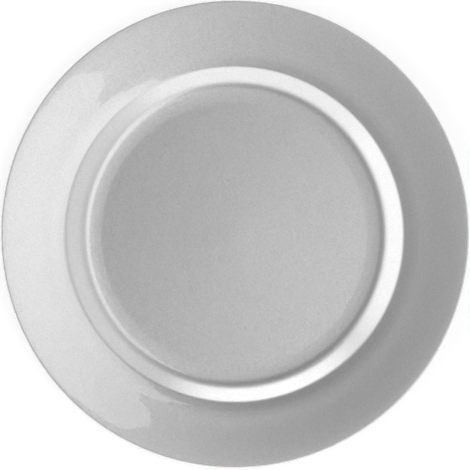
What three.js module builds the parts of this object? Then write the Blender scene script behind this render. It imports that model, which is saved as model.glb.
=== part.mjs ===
// A charger plate: a shallow round plate with a wide sloping rim whose edge rolls down to a lip.
// The body is moulded in one piece, and its face carries a silver base coat under a clear gloss coat.
// Millimetres, +Z up. The origin is on the table, under the middle of the plate.

import * as THREE from 'three';

// Plan of the finished face, taken from the outer edge inwards
const PLATE_DIAMETER = 330;
const BROW_WIDTH = 5; // flatter margin of the rim beside the rolled edge
const RIM_WIDTH = 40.1; // outer edge to the corner where the rim starts, so the brow is part of it
const COLLAR_WIDTH = 6.35; // long curve that eases the top of the wall into the rim
const WALL_RUN = 12.15; // how far the wall leans out between its two corners
const APRON_WIDTH = 7.2; // ring that begins to turn up at the foot of the wall
const MARGIN_WIDTH = 5.3; // nearly level ring outside the crease that bounds the floor

// Rise of each of these stretches, from the axis outwards
const FLOOR_CROWN = 1.2; // how far the middle of the floor stands above its edge
const MARGIN_RISE = 0.16;
const APRON_RISE = 0.63;
const WALL_RISE = 8;
const COLLAR_RISE = 1.7;
const RIM_RISE = 6.08; // to the sharp corner that the rolled edge rounds off
const BROW_RISE = 0.64; // the brow's share of that
const LIP_DROP = 6.2; // sharp corner of the rolled edge down to the end of the lip

// Roundings of the finished face
const FLOOR_ROUNDING = 30;
const APRON_ROUNDING = 90;
const HEEL_ROUNDING = 16; // hollow curve at the foot of the wall
const SHOULDER_ROUNDING = 8; // swelling curve at the top of the wall
const COLLAR_ROUNDING = 78;
const BROW_ROUNDING = 60;
const EDGE_ROUNDING = 1.2; // roll from the rim down into the lip

// Layers, from the face inwards
const CLEAR_COAT_THICKNESS = 0.05;
const SILVER_COAT_THICKNESS = 0.05;
const LAYER_GAP = 0.005; // keeps the faces of neighbouring layers apart
const BODY_THICKNESS = 2.2;

// Underside of the moulded body
const FOOT_HEIGHT = 1.8; // table to the underside of the floor's edge
const FOOT_WIDTH = 3.5;
const FOOT_INSET = 4.9; // crease in to the foot ring
const RIB_HEIGHT = 0.8;
const RIB_WIDTH = 2.4;
const GATE_DIAMETER = 9; // stub in the middle, where the plastic entered the mould
const GATE_HEIGHT = 0.6;
const DRAFT_LEAN = 0.3; // lean of each moulded side, so that the body leaves the mould

// Fineness of the facets
const SEGMENTS_ROUND = 64;
const ARC_STEP = THREE.MathUtils.degToRad(18);

// Places worked out from the sizes above
const plateRadius = PLATE_DIAMETER / 2;
const browRadius = plateRadius - BROW_WIDTH;
const collarRadius = plateRadius - RIM_WIDTH;
const shoulderRadius = collarRadius - COLLAR_WIDTH;
const heelRadius = shoulderRadius - WALL_RUN;
const apronRadius = heelRadius - APRON_WIDTH;
const floorRadius = apronRadius - MARGIN_WIDTH;
const silverDepth = CLEAR_COAT_THICKNESS + LAYER_GAP;
const bodyDepth = silverDepth + SILVER_COAT_THICKNESS + LAYER_GAP;
const undersideDepth = bodyDepth + BODY_THICKNESS;
const floorHeight = FOOT_HEIGHT + undersideDepth;
const apronHeight = floorHeight + MARGIN_RISE;
const heelHeight = apronHeight + APRON_RISE;
const shoulderHeight = heelHeight + WALL_RISE;
const collarHeight = shoulderHeight + COLLAR_RISE;
const edgeHeight = collarHeight + RIM_RISE;

/** A corner of an outline: distance from the axis, height, and the radius that rounds it off. */
function corner(radius, height, rounding = 0) {
  return { point: new THREE.Vector2(radius, height), rounding };
}

/** Signed angle through which an outline turns at a corner, positive to the left. */
function turnAt(before, at, after) {
  const arriving = at.point.clone().sub(before.point);
  const leaving = after.point.clone().sub(at.point);
  return Math.atan2(arriving.cross(leaving), arriving.dot(leaving));
}

/** Length of outline that a rounding takes up on each side of its corner. */
function reachAt(corners, i) {
  const isEnd = i === 0 || i === corners.length - 1;
  return isEnd ? 0 : corners[i].rounding * Math.tan(Math.abs(turnAt(...corners.slice(i - 1, i + 2))) / 2);
}

/** The corners with each rounding cut down, where need be, to what the stretches beside it can hold. */
function withFittingRoundings(corners) {
  const fits = corners.slice(1).map((next, i) => {
    const wanted = reachAt(corners, i) + reachAt(corners, i + 1);
    const length = next.point.distanceTo(corners[i].point);
    return wanted > length ? length / wanted : 1;
  });
  return corners.map(({ point, rounding }, i) => {
    const share = Math.min(fits[Math.max(i - 1, 0)], fits[Math.min(i, fits.length - 1)]);
    return corner(point.x, point.y, rounding * share);
  });
}

/** The finished face, from the axis out over floor, wall and rim, and down the lip. */
function finishedFace() {
  return withFittingRoundings([
    corner(0, floorHeight + FLOOR_CROWN),
    corner(floorRadius, floorHeight, FLOOR_ROUNDING),
    corner(apronRadius, apronHeight, APRON_ROUNDING),
    corner(heelRadius, heelHeight, HEEL_ROUNDING),
    corner(shoulderRadius, shoulderHeight, SHOULDER_ROUNDING),
    corner(collarRadius, collarHeight, COLLAR_ROUNDING),
    corner(browRadius, edgeHeight - BROW_RISE, BROW_ROUNDING),
    corner(plateRadius, edgeHeight, EDGE_ROUNDING),
    corner(plateRadius, edgeHeight - LIP_DROP),
  ]);
}

/** Unit normal that points into the plate from the stretch between two corners. */
function normalInto(from, to) {
  const along = to.point.clone().sub(from.point).normalize();
  return new THREE.Vector2(along.y, -along.x);
}

/**
 * The face moved into the plate by an even depth. Corners slide along their mitres, and roundings keep
 * their centres. At the axis the mitre is taken against the mirrored stretch, so it stays on the axis.
 */
function faceAtDepth(face, depth) {
  const normals = face.slice(1).map((next, i) => normalInto(face[i], next));
  const mirrored = new THREE.Vector2(-normals[0].x, normals[0].y);
  return face.map(({ point, rounding }, i) => {
    const before = i === 0 ? mirrored : normals[i - 1];
    const after = normals[Math.min(i, normals.length - 1)];
    const mitre = before.clone().add(after).multiplyScalar(depth / (1 + before.dot(after)));
    const moved = point.clone().add(mitre);
    const curveChange = Math.sign(before.cross(after)) * depth;
    return corner(moved.x, moved.y, rounding > 0 ? Math.max(0, rounding + curveChange) : 0);
  });
}

/** Points of one corner: the corner itself, or the arc that rounds it off. */
function cornerPoints(before, at, after) {
  const turn = turnAt(before, at, after);
  if (at.rounding === 0 || turn === 0) {
    return [at.point];
  }
  const arriving = at.point.clone().sub(before.point).normalize();
  const reach = at.rounding * Math.tan(Math.abs(turn) / 2);
  const start = at.point.clone().addScaledVector(arriving, -reach);
  const towardsCentre = new THREE.Vector2(-arriving.y, arriving.x).multiplyScalar(Math.sign(turn));
  const centre = start.clone().addScaledVector(towardsCentre, at.rounding);
  const steps = Math.ceil(Math.abs(turn) / ARC_STEP);
  return Array.from({ length: steps + 1 }, (_, k) => start.clone().rotateAround(centre, (turn * k) / steps));
}

/** A solid of revolution between an upper and a lower outline that both start on the axis. */
function revolved(upper, lower) {
  const corners = [...upper, ...lower.toReversed()];
  const outline = corners.flatMap((at, i) => {
    const isEnd = i === 0 || i === corners.length - 1;
    return isEnd ? [at.point] : cornerPoints(corners[i - 1], at, corners[i + 1]);
  });
  return new THREE.LatheGeometry(outline.toReversed(), SEGMENTS_ROUND).rotateX(Math.PI / 2);
}

/** Underside of the body: the face at full depth, with the gate stub, stiffening rib and foot ring below. */
function undersideOutline(face) {
  const [middle, floorEdge, ...beyondFloor] = faceAtDepth(face, undersideDepth);
  const heightAt = (radius) =>
    THREE.MathUtils.lerp(middle.point.y, floorEdge.point.y, radius / floorEdge.point.x);
  const ring = (inner, outer, tip) => [
    corner(inner, heightAt(inner)),
    corner(inner + DRAFT_LEAN, tip),
    corner(outer - DRAFT_LEAN, tip),
    corner(outer, heightAt(outer)),
  ];
  const gateRadius = GATE_DIAMETER / 2;
  const gateTip = middle.point.y - GATE_HEIGHT;
  const footOuter = floorEdge.point.x - FOOT_INSET;
  const footInner = footOuter - FOOT_WIDTH;
  const ribRadius = (gateRadius + footInner) / 2;
  return [
    corner(0, gateTip),
    corner(gateRadius - DRAFT_LEAN, gateTip),
    corner(gateRadius, heightAt(gateRadius)),
    ...ring(ribRadius - RIB_WIDTH / 2, ribRadius + RIB_WIDTH / 2, heightAt(ribRadius) - RIB_HEIGHT),
    ...ring(footInner, footOuter, 0),
    floorEdge,
    ...beyondFloor,
  ];
}

function namedMesh(name, geometry, material) {
  const mesh = new THREE.Mesh(geometry, new THREE.MeshStandardMaterial(material));
  mesh.name = name;
  return mesh;
}

/** The moulded plastic body, which carries the coats and stands on its foot ring. */
function mouldedBody(face) {
  const geometry = revolved(faceAtDepth(face, bodyDepth), undersideOutline(face));
  return namedMesh('moulded_body', geometry, { color: 0xb4b5b7, roughness: 0.55, metalness: 0 });
}

/** The metal-flake coat that gives the face its silver. */
function silverBaseCoat(face) {
  const lower = faceAtDepth(face, silverDepth + SILVER_COAT_THICKNESS);
  const geometry = revolved(faceAtDepth(face, silverDepth), lower);
  return namedMesh('silver_base_coat', geometry, { color: 0xbfc0c2, roughness: 0.45, metalness: 0.9 });
}

/** The clear lacquer over the silver, which mirrors lamps sharply. */
function clearGlossCoat(face) {
  const geometry = revolved(face, faceAtDepth(face, CLEAR_COAT_THICKNESS));
  const gloss = { color: 0xf4f5f6, roughness: 0.04, metalness: 0, transparent: true, opacity: 0.2 };
  return namedMesh('clear_gloss_coat', geometry, gloss);
}

const face = finishedFace();
const plate = new THREE.Group();
plate.add(mouldedBody(face), silverBaseCoat(face), clearGlossCoat(face));

export default plate;
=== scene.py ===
# %% [markdown]
# # A silver charger plate
#
# A charger is the wide plate that stays on the table under a dinner plate. This one is a single plastic
# moulding. Its face is sprayed silver and sealed with a clear gloss lacquer. The lesson draws half of its
# section, turns that round an axis, paints it, and sets it under soft lamps.

import bpy
import numpy as np
from mathutils import Euler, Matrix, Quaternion, Vector


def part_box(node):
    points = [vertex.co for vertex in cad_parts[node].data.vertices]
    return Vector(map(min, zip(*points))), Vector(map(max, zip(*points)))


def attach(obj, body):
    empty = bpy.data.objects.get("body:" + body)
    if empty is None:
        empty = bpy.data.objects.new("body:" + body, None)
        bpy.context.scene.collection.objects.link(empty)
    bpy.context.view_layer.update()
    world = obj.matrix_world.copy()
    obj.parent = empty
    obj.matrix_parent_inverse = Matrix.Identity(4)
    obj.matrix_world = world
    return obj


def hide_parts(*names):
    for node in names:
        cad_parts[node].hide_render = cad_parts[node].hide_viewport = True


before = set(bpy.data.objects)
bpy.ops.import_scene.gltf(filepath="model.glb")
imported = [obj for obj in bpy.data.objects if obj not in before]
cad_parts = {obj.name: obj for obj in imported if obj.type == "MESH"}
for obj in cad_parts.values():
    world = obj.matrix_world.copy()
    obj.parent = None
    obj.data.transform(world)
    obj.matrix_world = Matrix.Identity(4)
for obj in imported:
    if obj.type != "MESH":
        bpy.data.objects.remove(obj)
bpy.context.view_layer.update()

print("pieces in the frame:", sorted(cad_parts))

# %% [markdown]
# ## The section of the plate
#
# A turned shape needs only half of its section: a line of corners from the axis to the lip. The outside
# radius and the depth of the paint are read from the frame. The other sizes are those of the moulding. From
# the middle outwards they give a crowned floor, a nearly level margin, an apron that begins to turn up, a
# leaning wall, a collar that eases into the sloping rim, and a flatter brow beside the edge that rolls down.

# %% Sizes of the section
MM = 0.001
BROW_WIDTH = 5 * MM
RIM_WIDTH = 40.1 * MM
COLLAR_WIDTH = 6.35 * MM
WALL_RUN = 12.15 * MM
APRON_WIDTH = 7.2 * MM
MARGIN_WIDTH = 5.3 * MM
FLOOR_CROWN = 1.2 * MM
MARGIN_RISE = 0.16 * MM
APRON_RISE = 0.63 * MM
WALL_RISE = 8 * MM
COLLAR_RISE = 1.7 * MM
RIM_RISE = 6.08 * MM
BROW_RISE = 0.64 * MM
LIP_DROP = 6.2 * MM
BODY_THICKNESS = 2.2 * MM
FOOT_HEIGHT = 1.8 * MM
FLOOR_ROUNDING = 30 * MM
APRON_ROUNDING = 90 * MM
HEEL_ROUNDING = 16 * MM
SHOULDER_ROUNDING = 8 * MM
COLLAR_ROUNDING = 78 * MM
BROW_ROUNDING = 60 * MM
EDGE_ROUNDING = 1.2 * MM

plate_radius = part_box("clear_gloss_coat")[1].x
paint_depth = plate_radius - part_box("moulded_body")[1].x
brow_radius = plate_radius - BROW_WIDTH
collar_radius = plate_radius - RIM_WIDTH
shoulder_radius = collar_radius - COLLAR_WIDTH
heel_radius = shoulder_radius - WALL_RUN
apron_radius = heel_radius - APRON_WIDTH
floor_radius = apron_radius - MARGIN_WIDTH
floor_height = FOOT_HEIGHT + BODY_THICKNESS + paint_depth
apron_height = floor_height + MARGIN_RISE
heel_height = apron_height + APRON_RISE
shoulder_height = heel_height + WALL_RISE
collar_height = shoulder_height + COLLAR_RISE
edge_height = collar_height + RIM_RISE
brow_height = edge_height - BROW_RISE

# The rim sank a little between its stiff ends as it cooled, so two more corners bend it
SAG_RADIUS = 137.4 * MM
SAG_DEPTH = 0.225 * MM
SAG_ROUNDING = 430 * MM
SWELL_RADIUS = 151.4 * MM
SWELL_ROUNDING = 700 * MM


def straight_rim(radius):
    """Height of the straight line from the collar to the brow."""
    return np.interp(radius, [collar_radius, brow_radius], [collar_height, brow_height])


# Distance from the axis, height and rounding of each corner of the finished face
FACE = np.array([
    (0.0, floor_height + FLOOR_CROWN, 0.0),
    (floor_radius, floor_height, FLOOR_ROUNDING),
    (apron_radius, apron_height, APRON_ROUNDING),
    (heel_radius, heel_height, HEEL_ROUNDING),
    (shoulder_radius, shoulder_height, SHOULDER_ROUNDING),
    (collar_radius, collar_height, COLLAR_ROUNDING),
    (SAG_RADIUS, straight_rim(SAG_RADIUS) - SAG_DEPTH, SAG_ROUNDING),
    (SWELL_RADIUS, straight_rim(SWELL_RADIUS), SWELL_ROUNDING),
    (brow_radius, brow_height, BROW_ROUNDING),
    (plate_radius, edge_height, EDGE_ROUNDING),
    (plate_radius, edge_height - LIP_DROP, 0.0),
])
print("finished face:", len(FACE), "corners, out to", round(plate_radius / MM, 2), "mm")

# %% [markdown]
# ## From corners to a smooth line
#
# Two small tools turn the corners into lines. One sinks the whole face evenly into the plate, which gives
# the underside of the paint and of the moulding: each corner slides along its mitre and each rounding
# keeps its centre. The other swaps every corner for the arc that touches both of its neighbours.

# %% Tools for an outline
ARC_STEP = np.radians(6)
FEWEST_ARC_POINTS = 3
LEAST_TURN = 1e-6
STRAIGHT_STEP = 2.4 * MM


def sunk(corners, depth):
    """Each corner plus depth times its mitre, (n1 + n2) / (1 + n1.n2), where n1 and n2 are the inward
    normals before and after it. Hollow roundings grow by the depth and swelling ones shrink by it."""
    along = np.diff(corners[:, :2], axis=0)
    along = along / np.linalg.norm(along, axis=1, keepdims=True)
    inward = np.column_stack([along[:, 1], -along[:, 0]])
    before = np.vstack([inward[0] * (-1, 1), inward])
    after = np.vstack([inward, inward[-1]])
    mitre = (before + after) / (1 + np.sum(before * after, axis=1, keepdims=True))
    bend = np.sign(before[:, 0] * after[:, 1] - before[:, 1] * after[:, 0])
    rounding = np.where(corners[:, 2] > 0, np.maximum(corners[:, 2] + bend * depth, 0), 0)
    return np.column_stack([corners[:, :2] + depth * mitre, rounding])


def corner_arc(before, corner, after):
    """Points of the arc that rounds the corner off and touches the two stretches beside it. A corner with
    no rounding, or with no turn, is returned alone."""
    arriving = (corner[:2] - before[:2]) / np.linalg.norm(corner[:2] - before[:2])
    leaving = (after[:2] - corner[:2]) / np.linalg.norm(after[:2] - corner[:2])
    turn = np.arctan2(arriving[0] * leaving[1] - arriving[1] * leaving[0], arriving @ leaving)
    if corner[2] == 0 or abs(turn) < LEAST_TURN:
        return corner[None, :2]
    start = corner[:2] - arriving * corner[2] * np.tan(abs(turn) / 2)
    side = np.sign(turn) * np.array([-arriving[1], arriving[0]])
    centre = start + side * corner[2]
    count = max(FEWEST_ARC_POINTS, int(np.ceil(abs(turn) / ARC_STEP)) + 1)
    angle = np.linspace(0, turn, count)[:, None]
    spoke = start - centre
    return centre + np.cos(angle) * spoke + np.sin(angle) * np.array([-spoke[1], spoke[0]])


def smooth_line(corners, step=STRAIGHT_STEP):
    """The outline with its corners rounded and every stretch longer than the step cut into even parts."""
    inner = [corner_arc(*corners[i - 1:i + 2]) for i in range(1, len(corners) - 1)]
    points = np.vstack([corners[:1, :2], *inner, corners[-1:, :2]])
    length = np.linalg.norm(np.diff(points, axis=0), axis=1)
    parts = np.maximum(np.ceil(length / step), 1).astype(int)
    knots = np.concatenate([[0], np.cumsum(parts)])
    return np.column_stack([np.interp(np.arange(knots[-1] + 1), knots, points[:, k]) for k in range(2)])


face_line = smooth_line(FACE)
print("face line:", len(face_line), "points, crest at", round(face_line[:, 1].max() / MM, 2), "mm")

# %% [markdown]
# ## What moulding and cooling do to the shape
#
# No moulding is a perfect turned shape. The tip of the crown is blunt, and the rim droops a little as it
# cools, more along one diameter than across it. A gloss finish shows all of it: these tenths of a millimetre
# bend the edges of the lamps that mirror in the rim.

# %% Small departures from a turned shape
CROWN_TIP = 7 * MM
DROOP = 0.18 * MM
DROOP_UNEVENNESS = 0.5
DROOP_AZIMUTH = np.radians(70)


def cooled(radius, height, azimuth):
    """Height less two terms: a hyperbola that blunts the cone of the floor at the axis and fades halfway
    out, and a droop that grows with the square of the distance past the heel. The droop is half as deep
    again along one diameter, and half as deep across it."""
    slope = FLOOR_CROWN / floor_radius
    blunt = slope * (np.hypot(radius, CROWN_TIP) - radius) * np.clip(1 - 2 * radius / floor_radius, 0, 1)
    reach = np.clip((radius - heel_radius) / (plate_radius - heel_radius), 0, 1)
    uneven = 1 + DROOP_UNEVENNESS * np.cos(2 * (azimuth - DROOP_AZIMUTH))
    droop = DROOP * reach ** 2 * uneven
    return height - blunt - droop


# %% [markdown]
# ## Turning a section into a closed mesh
#
# Spinning the section is one outer product: every point of the line meets every angle of the circle. Points
# on the axis stay single, so the poles close without a pinhole, and the last column of faces joins the first.

# %% Tools for turned pieces
AROUND = 360
FOLD_ANGLE = np.radians(40)


def turned_mesh(name, line, around=AROUND, settle=None):
    """x = r cos a, y = r sin a, z = h(r, a) for each point of the line and each angle a. A line that starts
    and ends on the axis gives a closed skin: rings of quads with a fan of triangles at each pole. It runs out
    over the top and back underneath, so that the faces point outwards."""
    azimuth = np.arange(around) * 2 * np.pi / around
    ring = line[1:-1]
    radius, turn = np.meshgrid(ring[:, 0], azimuth, indexing="ij")
    height = np.broadcast_to(ring[:, 1:2], radius.shape)
    ends = line[[0, -1], 1]
    if settle is not None:
        height = settle(radius, height, turn)
        ends = settle(np.zeros(2), ends, np.zeros(2))
    body = np.stack([radius * np.cos(turn), radius * np.sin(turn), height], axis=-1).reshape(-1, 3)
    poles = np.array([(0, 0, ends[0]), (0, 0, ends[1])])
    vertices = np.vstack([body, poles])
    index = np.arange(len(ring) * around).reshape(len(ring), around)
    beside = np.roll(index, -1, axis=1)
    quads = np.stack([index[:-1], index[1:], beside[1:], beside[:-1]], axis=-1).reshape(-1, 4)
    first = np.stack([np.full(around, len(body)), index[0], beside[0]], axis=-1)
    last = np.stack([np.full(around, len(body) + 1), beside[-1], index[-1]], axis=-1)
    return mesh_piece(name, vertices, [quads, first, last])


def mesh_piece(name, vertices, face_sets):
    """A mesh object at the origin from an array of vertices and arrays of faces, each with faces of one
    number of sides. It is shaded smooth except at sharp folds."""
    mesh = bpy.data.meshes.new(name)
    sizes = np.concatenate([np.full(len(faces), faces.shape[1]) for faces in face_sets])
    corners = np.concatenate([faces.ravel() for faces in face_sets])
    mesh.vertices.add(len(vertices))
    mesh.vertices.foreach_set("co", vertices.astype(np.float32).ravel())
    mesh.loops.add(len(corners))
    mesh.loops.foreach_set("vertex_index", corners.astype(np.int32))
    mesh.polygons.add(len(sizes))
    mesh.polygons.foreach_set("loop_start", (np.cumsum(sizes) - sizes).astype(np.int32))
    mesh.update(calc_edges=True)
    mesh.validate()
    mesh.shade_smooth()
    mesh.set_sharp_from_angle(angle=FOLD_ANGLE)
    piece = bpy.data.objects.new(name, mesh)
    bpy.context.scene.collection.objects.link(piece)
    print(name, "has", len(mesh.vertices), "vertices and", len(mesh.polygons), "faces")
    return piece


# %% [markdown]
# ## The lacquered face
#
# The silver coat and the clear coat are one thin skin over the face, round the rolled edge and down the lip.
# Its outer side is the finished face, and its inner side is that face sunk by the depth of the paint.

# %% Make the lacquered face
PAINT_CLEARANCE = 0.005 * MM
COARSE_STEP = 6 * MM

paint_back = smooth_line(sunk(FACE, paint_depth - PAINT_CLEARANCE), COARSE_STEP)
paint_line = np.vstack([face_line, paint_back[::-1]])
lacquered_face = turned_mesh("lacquered_face", paint_line, settle=cooled)

# %% [markdown]
# ## The moulded body
#
# Underneath, the plate is bare plastic of one even thickness. A foot ring keeps it off the table, a low rib
# stiffens the floor, and a stub in the middle shows where the plastic came into the mould.

# %% Make the moulded body
FOOT_WIDTH = 3.5 * MM
FOOT_INSET = 4.9 * MM
RIB_HEIGHT = 0.8 * MM
RIB_WIDTH = 2.4 * MM
GATE_RADIUS = 4.5 * MM
GATE_HEIGHT = 0.6 * MM
DRAFT_LEAN = 0.3 * MM
SMALL_ROUNDING = 0.3 * MM

under = sunk(FACE, paint_depth + BODY_THICKNESS)
foot_outer = under[1, 0] - FOOT_INSET
foot_inner = foot_outer - FOOT_WIDTH
rib_radius = (GATE_RADIUS + foot_inner) / 2
rib_inner = rib_radius - RIB_WIDTH / 2
rib_outer = rib_radius + RIB_WIDTH / 2


def underside_at(radius):
    """Height of the floor's underside, a straight line from the axis to the floor's edge."""
    return np.interp(radius, under[:2, 0], under[:2, 1])


def moulded_ring(inner, outer, tip):
    """Four corners of a ring that stands down from the floor, with leaning sides and rounded arrises."""
    return np.array([
        (inner, underside_at(inner), SMALL_ROUNDING),
        (inner + DRAFT_LEAN, tip, SMALL_ROUNDING),
        (outer - DRAFT_LEAN, tip, SMALL_ROUNDING),
        (outer, underside_at(outer), SMALL_ROUNDING),
    ])


gate_tip = under[0, 1] - GATE_HEIGHT
gate = np.array([
    (0.0, gate_tip, 0.0),
    (GATE_RADIUS - DRAFT_LEAN, gate_tip, SMALL_ROUNDING),
    (GATE_RADIUS, underside_at(GATE_RADIUS), SMALL_ROUNDING),
])
rib = moulded_ring(rib_inner, rib_outer, underside_at(rib_radius) - RIB_HEIGHT)
foot = moulded_ring(foot_inner, foot_outer, 0.0)
under_line = smooth_line(np.vstack([gate, rib, foot, under[1:]]), COARSE_STEP)
body_top = smooth_line(sunk(FACE, paint_depth), COARSE_STEP)
body_line = np.vstack([body_top, under_line[::-1]])
moulded_shell = turned_mesh("moulded_shell", body_line, settle=cooled)

# %% [markdown]
# ## Tools for materials
#
# Every finish starts from the Principled shader. A helper adds a node and sets its plain inputs, so that
# each material below reads as a short list of what feeds what.

# %% Tools for node trees
# Times this, a vector keeps only its level part
LEVEL_PART = (1, 1, 0)


def finish(name):
    """A new material with an output and a Principled shader, returned with its node tree."""
    material = bpy.data.materials.new(name)
    material.use_nodes = True
    tree = material.node_tree
    tree.nodes.clear()
    output = tree.nodes.new("ShaderNodeOutputMaterial")
    shader = tree.nodes.new("ShaderNodeBsdfPrincipled")
    tree.links.new(shader.outputs["BSDF"], output.inputs["Surface"])
    return material, tree, shader


def add(tree, kind, inputs=None, **settings):
    """A node of that kind. An input given as a socket is linked, and any other value is set on the input."""
    node = tree.nodes.new("ShaderNode" + kind)
    for key, value in settings.items():
        setattr(node, key, value)
    for key, value in (inputs or {}).items():
        if isinstance(value, bpy.types.NodeSocket):
            tree.links.new(value, node.inputs[key])
        else:
            node.inputs[key].default_value = value
    return node


def between(tree, share, low, high):
    """A Map Range node that turns a share from 0 to 1 into a number from low to high."""
    node = add(tree, "MapRange", {"Value": share, "To Min": low, "To Max": high})
    return node.outputs["Result"]


# %% [markdown]
# ## Silver under clear lacquer
#
# Silver lacquer is a cloud of aluminium flakes in resin. Each flake is a tiny mirror with its own tilt, so
# the coat glows broadly and sparkles a little. Over it lies a clear coat as smooth as glass, which adds the
# sharp image of the lamps. One shader holds both: a rough metal base for the flakes and a smooth coat on top.
# The clear coat has the faint ripple that sprayers call orange peel.

# %% Paint the face
FLAKE_PITCH = 0.45 * MM
FLAKE_TILT = 0.05
FLAKE_BRIGHTNESS = 0.635, 0.745
MIDDLE_COLOUR = (0.5, 0.5, 0.5)
CLOUD_PITCH = 11 * MM
CLOUD_ROUGHNESS = 0.35, 0.39
PEEL_PITCH = 2.6 * MM
PEEL_HEIGHT = 0.002 * MM
COAT_ROUGHNESS = 0.015
COAT_IOR = 1.78


def silver_lacquer():
    """Flakes are Voronoi cells: each cell's random colour tilts its normal and shifts its brightness. Slow
    clouds vary the roughness, and a fine noise ripples the coat."""
    material, tree, shader = finish("silver_under_clear_lacquer")
    place = add(tree, "TexCoord").outputs["Object"]
    flakes = add(tree, "TexVoronoi", {"Vector": place, "Scale": 1 / FLAKE_PITCH})
    lean = add(tree, "VectorMath", {0: flakes.outputs["Color"], 1: MIDDLE_COLOUR}, operation="SUBTRACT")
    tilt = add(tree, "VectorMath", {0: lean.outputs[0], "Scale": FLAKE_TILT}, operation="SCALE")
    normal = add(tree, "NewGeometry").outputs["Normal"]
    tilted = add(tree, "VectorMath", {0: normal, 1: tilt.outputs[0]}, operation="ADD")
    facing = add(tree, "VectorMath", {0: tilted.outputs[0]}, operation="NORMALIZE")
    tree.links.new(facing.outputs[0], shader.inputs["Normal"])

    cloud = add(tree, "TexNoise", {"Vector": place, "Scale": 1 / CLOUD_PITCH, "Detail": 3.0})
    glint = add(tree, "SeparateColor", {"Color": flakes.outputs["Color"]})
    brightness = between(tree, glint.outputs["Red"], *FLAKE_BRIGHTNESS)
    colour = add(tree, "CombineColor", {"Red": brightness, "Green": brightness, "Blue": brightness})
    tree.links.new(colour.outputs["Color"], shader.inputs["Base Color"])
    tree.links.new(between(tree, cloud.outputs["Fac"], *CLOUD_ROUGHNESS), shader.inputs["Roughness"])

    peel = add(tree, "TexNoise", {"Vector": place, "Scale": 1 / PEEL_PITCH, "Detail": 1.0})
    ripple = add(tree, "Bump", {"Height": peel.outputs["Fac"], "Distance": PEEL_HEIGHT, "Strength": 1.0})
    tree.links.new(ripple.outputs["Normal"], shader.inputs["Coat Normal"])
    shader.inputs["Metallic"].default_value = 1.0
    shader.inputs["Coat Weight"].default_value = 1.0
    shader.inputs["Coat Roughness"].default_value = COAT_ROUGHNESS
    shader.inputs["Coat IOR"].default_value = COAT_IOR
    return material


lacquered_face.data.materials.append(silver_lacquer())
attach(lacquered_face, "root")
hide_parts("silver_base_coat", "clear_gloss_coat")

# %% [markdown]
# ## Bare moulded plastic
#
# The underside is left as it came from the mould: a satin grey with a fine spark-eroded grain. Silver mist
# drifted under the lip when the face was sprayed, so the grey turns silver towards the edge.

# %% Finish the underside
GRAIN_PITCH = 0.5 * MM
GRAIN_HEIGHT = 0.008 * MM
MOTTLE_PITCH = 28 * MM
PLASTIC_GREY = 0.42, 0.48
PLASTIC_ROUGHNESS = 0.42, 0.54
MIST_START = 138 * MM
MIST_THIN, MIST_DENSE = 0.55, 1.25
MIST_COLOUR = (0.72, 0.72, 0.73, 1.0)
MIST_METAL = 0.9


def bare_plastic():
    """Grey plastic whose mist of silver grows with the distance from the axis, broken up by noise."""
    material, tree, shader = finish("bare_moulded_plastic")
    place = add(tree, "TexCoord").outputs["Object"]
    flat = add(tree, "VectorMath", {0: place, 1: LEVEL_PART}, operation="MULTIPLY")
    reach = add(tree, "VectorMath", {0: flat.outputs[0]}, operation="LENGTH")
    grain = add(tree, "TexNoise", {"Vector": place, "Scale": 1 / GRAIN_PITCH, "Detail": 2.0})
    spread = add(tree, "MapRange", {"Value": reach.outputs["Value"], "From Min": MIST_START,
                                    "From Max": plate_radius}, interpolation_type="SMOOTHSTEP")
    speckle = add(tree, "Math", {0: spread.outputs["Result"], 1: grain.outputs["Fac"]}, operation="ADD")
    mist = add(tree, "MapRange", {"Value": speckle.outputs[0], "From Min": MIST_THIN, "From Max": MIST_DENSE})
    mottle = add(tree, "TexNoise", {"Vector": place, "Scale": 1 / MOTTLE_PITCH, "Detail": 4.0})
    grey = between(tree, mottle.outputs["Fac"], *PLASTIC_GREY)
    plastic = add(tree, "CombineColor", {"Red": grey, "Green": grey, "Blue": grey})
    colour = add(tree, "Mix", {"Factor": mist.outputs[0], "A": plastic.outputs["Color"],
                               "B": MIST_COLOUR}, data_type="RGBA")
    tree.links.new(colour.outputs["Result"], shader.inputs["Base Color"])
    tree.links.new(between(tree, mist.outputs[0], 0.0, MIST_METAL), shader.inputs["Metallic"])
    tree.links.new(between(tree, mottle.outputs["Fac"], *PLASTIC_ROUGHNESS), shader.inputs["Roughness"])
    erosion = add(tree, "Bump", {"Height": grain.outputs["Fac"], "Distance": GRAIN_HEIGHT, "Strength": 1.0})
    tree.links.new(erosion.outputs["Normal"], shader.inputs["Normal"])
    return material


moulded_shell.data.materials.append(bare_plastic())
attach(moulded_shell, "root")
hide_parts("moulded_body")

# %% [markdown]
# ## Floor
#
# The plate stands on a pale studio sweep, a floor that turns up far away. The tools that turned the plate
# turn it too. Seen directly or in a mirror it glows a little, which lifts it to white and still lets it hold
# a shadow.

# %% Make the floor
SWEEP_FLAT = 14.0
SWEEP_ROUNDING = 3.0
SWEEP_RUN, SWEEP_RISE = 3.0, 5.0
SWEEP_THICKNESS = 0.05
SWEEP_STEP = 0.5
SWEEP_AROUND = 96
FLOOR_WHITE = (0.8, 0.8, 0.8, 1.0)
FLOOR_GLOW = 0.49

SWEEP = np.array([
    (0.0, 0.0, 0.0),
    (SWEEP_FLAT, 0.0, SWEEP_ROUNDING),
    (SWEEP_FLAT + SWEEP_RUN, SWEEP_RISE, 0.0),
])
sweep_top = smooth_line(SWEEP, SWEEP_STEP)
sweep_back = smooth_line(sunk(SWEEP, SWEEP_THICKNESS), SWEEP_STEP)
sweep_line = np.vstack([sweep_top, sweep_back[::-1]])
studio_sweep = turned_mesh("studio_sweep", sweep_line, around=SWEEP_AROUND)


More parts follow.
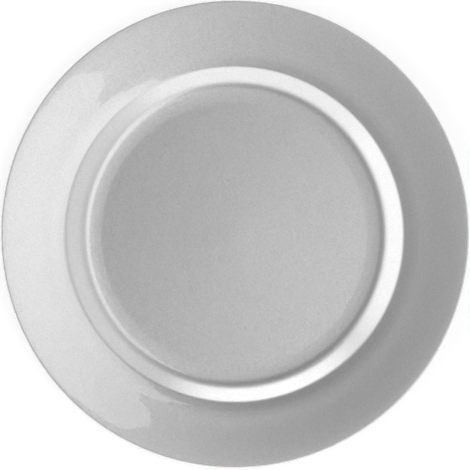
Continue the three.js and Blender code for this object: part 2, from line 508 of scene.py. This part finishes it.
def pale_floor():
    """A white diffuse surface plus a glow that only camera, mirror and glass rays meet."""
    material = bpy.data.materials.new("pale_floor")
    material.use_nodes = True
    tree = material.node_tree
    tree.nodes.clear()
    rays = add(tree, "LightPath")
    mirrored = add(tree, "Math", {0: rays.outputs["Is Glossy Ray"], 1: rays.outputs["Is Transmission Ray"]},
                   operation="MAXIMUM")
    seen = add(tree, "Math", {0: rays.outputs["Is Camera Ray"], 1: mirrored.outputs[0]}, operation="MAXIMUM")
    strength = between(tree, seen.outputs[0], 0.0, FLOOR_GLOW)
    glow = add(tree, "Emission", {"Strength": strength})
    white = add(tree, "BsdfDiffuse", {"Color": FLOOR_WHITE})
    both = add(tree, "AddShader", {0: white.outputs[0], 1: glow.outputs[0]})
    output = add(tree, "OutputMaterial")
    tree.links.new(both.outputs[0], output.inputs["Surface"])
    return material


studio_sweep.data.materials.append(pale_floor())

# %% [markdown]
# ## The lamp overhead
#
# A gloss plate shows what it faces, so the lights decide the picture. One long panel hangs above and to the
# right. Its sharp image lies in the left of the rim and draws a thin bright line round the left of the heel.

# %% Hang the overhead panel
OVERHEAD_RADIANCE = 1.1
OVERHEAD_NEAR, OVERHEAD_FAR = 0.91, 2.5
OVERHEAD_FRONT, OVERHEAD_BACK = -4.2, 2.1
OVERHEAD_HEIGHT = 5.0
OVERHEAD_SPIN = np.radians(8)


def overhead_panel():
    """A rectangular lamp that faces straight down, with its near and far sides to the right of the plate."""
    lamp = bpy.data.lights.new("overhead_panel", "AREA")
    lamp.shape = "RECTANGLE"
    lamp.size = OVERHEAD_FAR - OVERHEAD_NEAR
    lamp.size_y = OVERHEAD_BACK - OVERHEAD_FRONT
    lamp.energy = OVERHEAD_RADIANCE * lamp.size * lamp.size_y * np.pi
    holder = bpy.data.objects.new("overhead_panel", lamp)
    across = (OVERHEAD_NEAR + OVERHEAD_FAR) / 2
    along = (OVERHEAD_FRONT + OVERHEAD_BACK) / 2
    holder.location = Quaternion((0, 0, 1), OVERHEAD_SPIN) @ Vector((across, along, OVERHEAD_HEIGHT))
    holder.rotation_euler = (0.0, 0.0, OVERHEAD_SPIN)
    holder.visible_camera = False
    bpy.context.scene.collection.objects.link(holder)


overhead_panel()

# %% [markdown]
# ## The glow near the camera
#
# A round lamp hangs closer, to the right and a little in front. It is bright in its middle and fades to
# nothing at its edge, so the gloss shows no outline of it. It lifts the floor of the well, most of all on its
# own side.

# %% Hang the round lamp
ROUND_RADIANCE = 0.66
ROUND_DIAMETER = 1.3
ROUND_HEIGHT = 1.2
ROUND_AZIMUTH, ROUND_REACH = np.radians(334), 0.17

# A lamp's own coordinates run from 0 to 1 across it
LAMP_MIDDLE = (0.5, 0.5, 0.0)
LAMP_EDGE = 0.5


def ramp(tree, value, dark, bright):
    """A smooth share that is 0 where the value is dark and 1 where it is bright."""
    low, high = min(dark, bright), max(dark, bright)
    ends = {"To Min": float(dark > bright), "To Max": float(dark < bright)}
    node = add(tree, "MapRange", {"Value": value, "From Min": low, "From Max": high, **ends},
               interpolation_type="SMOOTHSTEP")
    return node.outputs["Result"]


def calculate(tree, operation, first, second):
    """A Math node on two sockets or numbers."""
    return add(tree, "Math", {0: first, 1: second}, operation=operation).outputs[0]


def round_lamp():
    """A disk that faces straight down, whose strength falls smoothly with the distance from its middle."""
    lamp = bpy.data.lights.new("round_lamp", "AREA")
    lamp.shape = "DISK"
    lamp.size = ROUND_DIAMETER
    lamp.energy = ROUND_RADIANCE * np.pi * (np.pi * ROUND_DIAMETER ** 2 / 4)
    lamp.use_nodes = True
    tree = lamp.node_tree
    tree.nodes.clear()
    place = add(tree, "NewGeometry").outputs["Parametric"]
    offset = add(tree, "VectorMath", {0: place, 1: LAMP_MIDDLE}, operation="SUBTRACT")
    flat = add(tree, "VectorMath", {0: offset.outputs[0], 1: LEVEL_PART}, operation="MULTIPLY")
    reach = add(tree, "VectorMath", {0: flat.outputs[0]}, operation="LENGTH").outputs["Value"]
    emission = add(tree, "Emission", {"Strength": ramp(tree, reach, LAMP_EDGE, 0.0)})
    output = add(tree, "OutputLight")
    tree.links.new(emission.outputs[0], output.inputs["Surface"])
    holder = bpy.data.objects.new("round_lamp", lamp)
    holder.location = (ROUND_REACH * np.cos(ROUND_AZIMUTH), ROUND_REACH * np.sin(ROUND_AZIMUTH), ROUND_HEIGHT)
    holder.visible_camera = False
    bpy.context.scene.collection.objects.link(holder)


round_lamp()

# %% [markdown]
# ## The room
#
# The rest of the light comes from the room. Its walls are lit softly in four places, and each lit stretch
# mirrors in the wall of the well across from it. The air between grows paler towards the floor. All of it is
# radiance by direction, in the world shader, where a height is the sine of the angle above the horizon.

# %% Light the room
LEFT_RADIANCE = 1.45
BACK_RADIANCE = 2.3
FRONT_RADIANCE = 1.2
RIGHT_RADIANCE = 0.48
AIR_RADIANCE = 0.13
HORIZON_RADIANCE = 0.7
PALEST_HEIGHT, DARKEST_HEIGHT = 0.245, 0.95

# Azimuth of the middle, half the spread and the zenith angle of the upper edge, in degrees, and the radiance
LIT_WALLS = [
    (176, 37, 38, LEFT_RADIANCE),
    (100, 28, 60, BACK_RADIANCE),
    (260, 48, 44, FRONT_RADIANCE),
    (2, 54, 26, RIGHT_RADIANCE),
]
SOFT_SIDE, SOFT_TOP = 9, 9


def lit_wall(tree, level, height, azimuth, spread, top, radiance):
    """Radiance times two shares: one of the cosine of the azimuth from the middle, one of the height."""
    middle = np.cos(np.radians(azimuth)), np.sin(np.radians(azimuth)), 0.0
    across = add(tree, "VectorMath", {0: level, 1: middle}, operation="DOT_PRODUCT").outputs["Value"]
    side = ramp(tree, across, np.cos(np.radians(spread + SOFT_SIDE)), np.cos(np.radians(spread - SOFT_SIDE)))
    below = ramp(tree, height, np.cos(np.radians(top - SOFT_TOP)), np.cos(np.radians(top + SOFT_TOP)))
    share = calculate(tree, "MULTIPLY", side, below)
    return calculate(tree, "MULTIPLY", share, radiance)


def pale_room():
    """A world that adds up the air and the lit walls."""
    world = bpy.data.worlds.new("pale_room")
    world.use_nodes = True
    tree = world.node_tree
    tree.nodes.clear()
    direction = add(tree, "TexCoord").outputs["Generated"]
    height = add(tree, "SeparateXYZ", {"Vector": direction}).outputs["Z"]
    flat = add(tree, "VectorMath", {0: direction, 1: LEVEL_PART}, operation="MULTIPLY")
    level = add(tree, "VectorMath", {0: flat.outputs[0]}, operation="NORMALIZE").outputs[0]
    up_high = ramp(tree, height, PALEST_HEIGHT, DARKEST_HEIGHT)
    total = between(tree, up_high, HORIZON_RADIANCE, AIR_RADIANCE)
    for azimuth, spread, top, radiance in LIT_WALLS:
        lit = lit_wall(tree, level, height, azimuth, spread, top, radiance)
        total = calculate(tree, "ADD", total, lit)
    light = add(tree, "Background", {"Strength": total})
    output = add(tree, "OutputWorld")
    tree.links.new(light.outputs["Background"], output.inputs["Surface"])
    return world


bpy.context.scene.world = pale_room()
print("room lit in", len(LIT_WALLS), "places")

# %% [markdown]
# ## Camera
#
# The picture looks down on the plate, which fills the frame. The floor of the well sits a little low and to
# the left within the rim, so the camera leans a few degrees that way. A long lens far away keeps the view
# nearly parallel. The plate's centre and radius in the picture, in pixels, place the camera.

# %% Set the camera
FRAME_PIXELS = 470
CENTRE_PIXEL = (234.3, 233.42)
RADIUS_PIXELS = 234.19
LENS = 500.0
SENSOR = 36.0
LEAN_FRONT = np.radians(3.4)
LEAN_LEFT = np.radians(1.7)

metres_per_pixel = plate_radius / RADIUS_PIXELS
middle_pixel = (FRAME_PIXELS - 1) / 2
distance = FRAME_PIXELS / 2 * metres_per_pixel * LENS / (SENSOR / 2)
rim_level = edge_height - LIP_DROP
aim = Vector((
    (middle_pixel - CENTRE_PIXEL[0]) * metres_per_pixel,
    (CENTRE_PIXEL[1] - middle_pixel) * metres_per_pixel,
    rim_level,
))
turn = Euler((LEAN_FRONT, -LEAN_LEFT, 0.0))
camera_data = bpy.data.cameras.new("camera_above")
camera_data.lens = LENS
camera_data.sensor_width = SENSOR
camera = bpy.data.objects.new("camera_above", camera_data)
camera.rotation_euler = turn
camera.location = aim + turn.to_matrix() @ Vector((0.0, 0.0, distance))
bpy.context.scene.collection.objects.link(camera)
bpy.context.scene.camera = camera
bpy.context.scene.view_settings.view_transform = "Standard"
print("camera", round(camera.location.z, 3), "m above the table")
